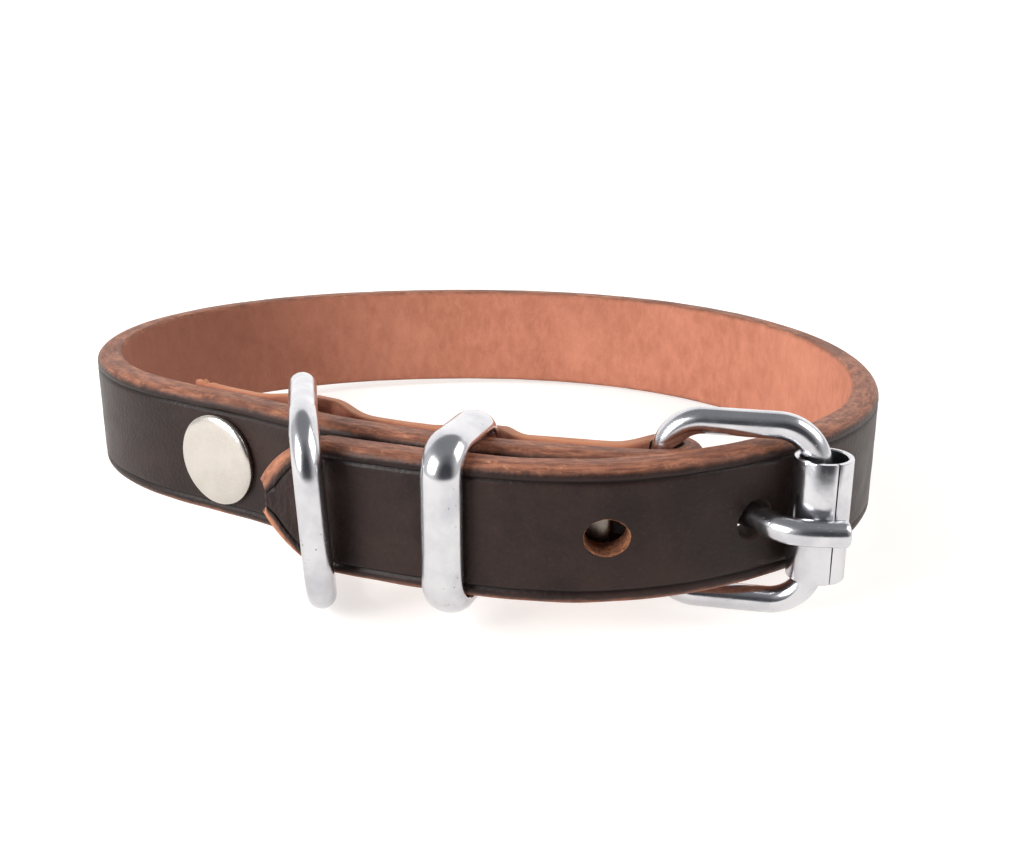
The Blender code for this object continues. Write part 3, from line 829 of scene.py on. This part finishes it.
def make_keeper(material):
    bar = inside_point(KEEPER_BAR_AT, KEEPER_HALF_THICKNESS + (KEEPER_GAP - GAP) / 2)
    front = outside_point(KEEPER_FRONT_AT, KEEPER_GAP + KEEPER_HALF_THICKNESS)
    reach = (front - bar).length
    points = rounded_loop(0.0, reach, KEEPER_HALF_HEIGHT, KEEPER_CORNER, KEEPER_FRONT_CORNER, 20)
    section = half_round(KEEPER_BAND_HALF_WIDTH, KEEPER_HALF_THICKNESS)
    loop = sweep("keeper_band", points, section, True, material)
    loop.data.set_sharp_from_angle(angle=math.radians(50))
    return placed(loop, bar, KEEPER_MIDDLE, front - bar)


def cap_profile():
    """A domed cap: a shallow crown, a rolled shoulder and a rim tucked under."""
    points = [(0.0, CAP_HEIGHT)]
    for i in range(1, 13):
        share = i / 12
        points.append((CAP_RADIUS * CAP_CROWN_SHARE * share, CAP_HEIGHT - CAP_SAG * share ** 2))
    x0, z0 = points[-1]
    for i in range(1, 11):
        angle = CAP_TURN * i / 10
        x = x0 + (CAP_RADIUS - x0) * math.sin(min(angle, math.pi / 2))
        x -= CAP_TUCK * max(0.0, -math.cos(angle))
        points.append((x, z0 - CAP_SHOULDER * (1.0 - math.cos(angle))))
    return points


def lathe(name, profile, material, steps=96):
    mesh = bpy.data.meshes.new(name)
    edges = [(i, i + 1) for i in range(len(profile) - 1)]
    mesh.from_pydata([(x, 0.0, z) for x, z in profile], edges, [])
    mesh.materials.append(material)
    item = bpy.data.objects.new(name, mesh)
    bpy.context.scene.collection.objects.link(item)
    screw = item.modifiers.new("turn", "SCREW")
    screw.steps = screw.render_steps = steps
    screw.use_merge_vertices = True
    screw.merge_threshold = 0.000001
    screw.use_smooth_shade = True
    return item


def make_rivets(material, hidden_shade_material):
    made = []
    for name, s in RIVETS_AT.items():
        grip = thickness_at(s) + ply_spacing(s) + turn_thickness_at(s)
        _, _, normal = along(s)
        front_at = outside_point(s, GAP * 0.4)
        back_at = outside_point(s, -grip - BACK_CAP_GAP)
        tail = cap_profile()
        bottom = tail[-1][1]
        # The caps hidden between the tail and the plies get the darker nickel, painted shade
        plate = material if name == "rivet_left" else hidden_shade_material
        tube = [(TUBE_RADIUS, bottom), (TUBE_RADIUS, -grip)]
        post = [(POST_RADIUS, bottom), (POST_RADIUS, GAP - grip)]
        front = lathe(name + "_cap", tail + tube, plate)
        back = lathe(name + "_back_cap", tail + post, material)
        for item, point, way in ((front, front_at, normal), (back, back_at, -normal)):
            turn = way.to_track_quat("Z", "Y").to_matrix().to_4x4()
            item.matrix_world = STAND @ Matrix.Translation((point.x, point.y, STRAP_WIDTH / 2)) @ turn
            made.append(item)
    return made


# Holes ---------------------------------------------------------------------------------

def cutter_material(item, leathers, index):
    """The wall that the cutter leaves gets the leather of that index."""
    item.data.materials.clear()
    for leather in leathers:
        item.data.materials.append(leather)
    for polygon in item.data.polygons:
        polygon.material_index = index


def oval_hole(name, s, height, leathers, index, size=1.0):
    point, _, normal = along(s)
    middle = point - normal * STRAP_THICKNESS / 2
    mesh = bmesh.new()
    rings = []
    for height_over, scale in HOLE_WALL:
        ring = []
        for i in range(HOLE_SIDES):
            angle = 2 * math.pi * i / HOLE_SIDES
            around = Vector((math.cos(angle) * 3, math.sin(angle) * 3, height_over * 1500))
            rough = 1.0 + HOLE_ROUGHNESS * noise.noise(around)
            reach = scale * rough * size / 2
            ring.append(mesh.verts.new((HOLE_LENGTH * reach * math.cos(angle),
                                        HOLE_WIDTH * reach * math.sin(angle), height_over)))
        rings.append(ring)
    for a, b in zip(rings, rings[1:]):
        for j in range(HOLE_SIDES):
            k = (j + 1) % HOLE_SIDES
            mesh.faces.new((a[j], b[j], b[k], a[k])).smooth = True
    mesh.faces.new(rings[0])
    mesh.faces.new(rings[-1][::-1])
    bmesh.ops.recalc_face_normals(mesh, faces=mesh.faces)
    data = bpy.data.meshes.new(name)
    mesh.to_mesh(data)
    mesh.free()
    hole = bpy.data.objects.new(name, data)
    bpy.context.scene.collection.objects.link(hole)
    turn = normal.to_track_quat("Z", "Y").to_matrix().to_4x4()
    hole.matrix_world = STAND @ Matrix.Translation((middle.x, middle.y, height)) @ turn
    cutter_material(hole, leathers, index)
    return hole


def prong_slot(leathers, index):
    _, heading, normal = along(BAR_AT)
    way = Vector((math.cos(heading), math.sin(heading), 0.0))
    outward = WIRE_RADIUS + GAP + FOLD_THICKNESS + SLOT_PAST_FOLD
    inward = EYE_RADIUS + EYE_WIRE_RADIUS + GAP + SLOT_PAST_EYE
    centre = BAR_POINT + way * (SLOT_FRONT - SLOT_BACK) / 2 + normal * (outward - inward) / 2
    bpy.ops.mesh.primitive_cube_add(size=1.0)
    slot = bpy.context.object
    slot.name = "prong_slot"
    size = Matrix.Diagonal((SLOT_BACK + SLOT_FRONT, outward + inward, SLOT_WIDTH, 1.0))
    turn = Matrix.Rotation(heading, 4, "Z")
    slot.matrix_world = STAND @ Matrix.Translation((centre.x, centre.y, PRONG_HEIGHT)) @ turn @ size
    cutter_material(slot, leathers, index)
    return slot


def cut_strap(strap, cutters):
    for cutter in cutters:
        boolean = strap.modifiers.new(cutter.name, "BOOLEAN")
        boolean.object = cutter
        boolean.operation = "DIFFERENCE"
        boolean.solver = "MANIFOLD"
    bpy.context.view_layer.update()
    evaluated = strap.evaluated_get(bpy.context.evaluated_depsgraph_get())
    data = bpy.data.meshes.new_from_object(evaluated)
    strap.modifiers.clear()
    strap.data = data
    for cutter in cutters:
        bpy.data.objects.remove(cutter)
    data.shade_smooth()
    data.set_sharp_from_angle(angle=math.radians(50))


# Stage ---------------------------------------------------------------------------------

def make_floor():
    """A pale floor that curves up into a backdrop."""
    mesh = bmesh.new()
    profile = [(FLOOR_FRONT, 0.0)]
    for i in range(17):
        angle = 0.5 * math.pi * i / 16
        y = FLOOR_RISE_AT + FLOOR_RISE_RADIUS * math.sin(angle)
        profile.append((y, FLOOR_RISE_RADIUS * (1.0 - math.cos(angle))))
    profile.append((FLOOR_RISE_AT + FLOOR_RISE_RADIUS, BACKDROP_HEIGHT))
    sides = (-FLOOR_HALF_WIDTH, FLOOR_HALF_WIDTH)
    columns = [[mesh.verts.new((x, y, z)) for y, z in profile] for x in sides]
    for j in range(len(profile) - 1):
        corners = (columns[0][j], columns[1][j], columns[1][j + 1], columns[0][j + 1])
        mesh.faces.new(corners).smooth = True
    data = bpy.data.meshes.new("floor")
    mesh.to_mesh(data)
    mesh.free()
    floor = bpy.data.objects.new("floor", data)
    bpy.context.scene.collection.objects.link(floor)
    m = Shading("pale_floor", 0.9)
    _, y, _ = m.split(m.place())
    lit = m.ramp(y, FLOOR_DIM_AT, FLOOR_LIT_AT)
    glow = m.mix(lit, FLOOR_GLOW_DIM, FLOOR_GLOW_LIT)
    glow = m.mix(m.ramp(y, BACKDROP_FROM, BACKDROP_TO), glow, WHITE)
    m.set(color=m.mix(lit, FLOOR_DIM, FLOOR_LIT), specular=0.0, glow=glow)
    m.shader.inputs["Emission Strength"].default_value = 1.0
    data.materials.append(m.material)


def color_ramp(tree, value, first, last):
    """From one (position, colour) to another."""
    node = tree.nodes.new("ShaderNodeValToRGB")
    for element, (position, color) in zip(node.color_ramp.elements, (first, last)):
        element.position = position
        element.color = (*color, 1.0)
    tree.links.new(value, node.inputs[0])
    return node.outputs[0]


def make_world():
    """Soft white surroundings, dimmer and bluer where the room is, behind the camera."""
    world = bpy.data.worlds.new("studio")
    bpy.context.scene.world = world
    world.use_nodes = True
    tree = world.node_tree
    background = tree.nodes["Background"]
    background.inputs["Strength"].default_value = WORLD_STRENGTH
    way = tree.nodes.new("ShaderNodeTexCoord").outputs["Generated"]
    dot = tree.nodes.new("ShaderNodeVectorMath")
    dot.operation = "DOT_PRODUCT"
    dot.inputs[1].default_value = Vector(ROOM_WAY).normalized()
    tree.links.new(way, dot.inputs[0])
    split = tree.nodes.new("ShaderNodeSeparateXYZ")
    tree.links.new(way, split.inputs[0])
    room = color_ramp(tree, dot.outputs["Value"], (ROOM_FROM, WHITE), (ROOM_TO, ROOM_COLOR))
    ceiling = color_ramp(tree, split.outputs["Z"], (CEILING_FROM, WHITE), (CEILING_TO, CEILING_COLOR))
    both = tree.nodes.new("ShaderNodeMix")
    both.data_type = "RGBA"
    both.blend_type = "MULTIPLY"
    both.inputs["Factor"].default_value = 1.0
    tree.links.new(room, both.inputs["A"])
    tree.links.new(ceiling, both.inputs["B"])
    tree.links.new(both.outputs["Result"], background.inputs["Color"])


def add_light(name, location, size, power, color=WHITE):
    """A square lamp facing the collar."""
    data = bpy.data.lights.new(name, "AREA")
    data.shape = "SQUARE"
    data.size = size
    data.energy = power
    data.color = color
    light = bpy.data.objects.new(name, data)
    bpy.context.scene.collection.objects.link(light)
    light.location = location
    light.rotation_euler = (-Vector(location)).to_track_quat("-Z", "Y").to_euler()


def make_camera():
    data = bpy.data.cameras.new("camera")
    data.lens = CAMERA_LENS
    data.sensor_width = 36.0
    data.clip_start = 0.005
    camera = bpy.data.objects.new("camera", data)
    bpy.context.scene.collection.objects.link(camera)
    turn = Matrix.Rotation(CAMERA_PITCH, 4, "X") @ Matrix.Rotation(CAMERA_ROLL, 4, "Z")
    camera.matrix_world = STAND @ Matrix.Translation(CAMERA_AT) @ turn
    bpy.context.scene.camera = camera


# Build ---------------------------------------------------------------------------------

LEATHER = strap_leather()
CUT = raw_leather("cut_leather", *CUT_COLORS)
# The darker cut leather paints the shade on the walls round the metal
PAINTED_SHADE_CUT = raw_leather("rubbed_cut_leather", *PAINTED_SHADE_CUT_COLORS)
LEATHERS = (LEATHER, CUT, PAINTED_SHADE_CUT)
CUT_INDEX = LEATHERS.index(CUT)
PAINTED_SHADE_INDEX = LEATHERS.index(PAINTED_SHADE_CUT)
CHROME = chrome("chrome_plate", PIT_SHARE)
WORN = chrome("worn_chrome", WORN_PIT_SHARE)
NICKEL = nickel("rivet_cap_nickel", *NICKEL_COLORS)
# Darker nickel for the hidden caps: painted shade
PAINTED_SHADE_NICKEL = nickel("rivet_painted_shade_nickel", *PAINTED_SHADE_NICKEL_COLORS)

strap = make_strap(LEATHERS)
strap.matrix_world = STAND.copy()
buckle, frame_points = make_frame(CHROME)
shank, eye, prong_points = make_prong(CHROME)
roller = make_roller(CHROME)
dee = make_dee(WORN)
keeper = make_keeper(CHROME)
rivets = make_rivets(NICKEL, PAINTED_SHADE_NICKEL)

frame_room = sweep("frame_room", frame_points, circle(WIRE_RADIUS + FRAME_ROOM), True, None)
placed(frame_room, BAR_POINT, FRAME_MIDDLE, FRAME_WAY)
prong_round = circle(PRONG_RADIUS + PRONG_ROOM)
prong_room = sweep("prong_room", prong_points, prong_round, False, None, None, UPWARD)
placed(prong_room, BAR_POINT, PRONG_HEIGHT)
# The walls round the frame and prong wires get the darkened cut leather: painted shade
for room in (frame_room, prong_room):
    cutter_material(room, LEATHERS, PAINTED_SHADE_INDEX)
free_hole_height = STRAP_WIDTH / 2 + rise_at(FREE_HOLE_AT)
free_hole = oval_hole("free_hole", FREE_HOLE_AT, free_hole_height, LEATHERS, CUT_INDEX)
prong_hole = oval_hole("prong_hole", PRONG_HOLE_AT, PRONG_HOLE_HEIGHT, LEATHERS, PAINTED_SHADE_INDEX,
                       PRONG_HOLE_SIZE)
slot = prong_slot(LEATHERS, PAINTED_SHADE_INDEX)
cut_strap(strap, [free_hole, prong_hole, slot, frame_room, prong_room])

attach(strap, "collar")
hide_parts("strap")
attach(buckle, "buckle_frame")
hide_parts("buckle_frame")
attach(shank, "buckle_prong")
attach(eye, "buckle_prong")
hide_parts("buckle_prong")
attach(roller, "buckle_roller")
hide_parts("buckle_roller")
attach(dee, "dee")
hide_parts("dee_ring")
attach(keeper, "keeper")
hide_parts("keeper_loop")
for piece in rivets:
    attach(piece, "collar")
    base = piece.name.replace("_back_cap", "_back").replace("_cap", "_front")
    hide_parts(base)

make_floor()
make_world()
add_light("key", (-0.60, -0.38, 0.34), 0.40, 7.0)
add_light("fill", (0.60, -0.10, 0.50), 0.5, 3.0, WARM_LIGHT)
make_camera()
bpy.context.scene.view_settings.view_transform = "Standard"
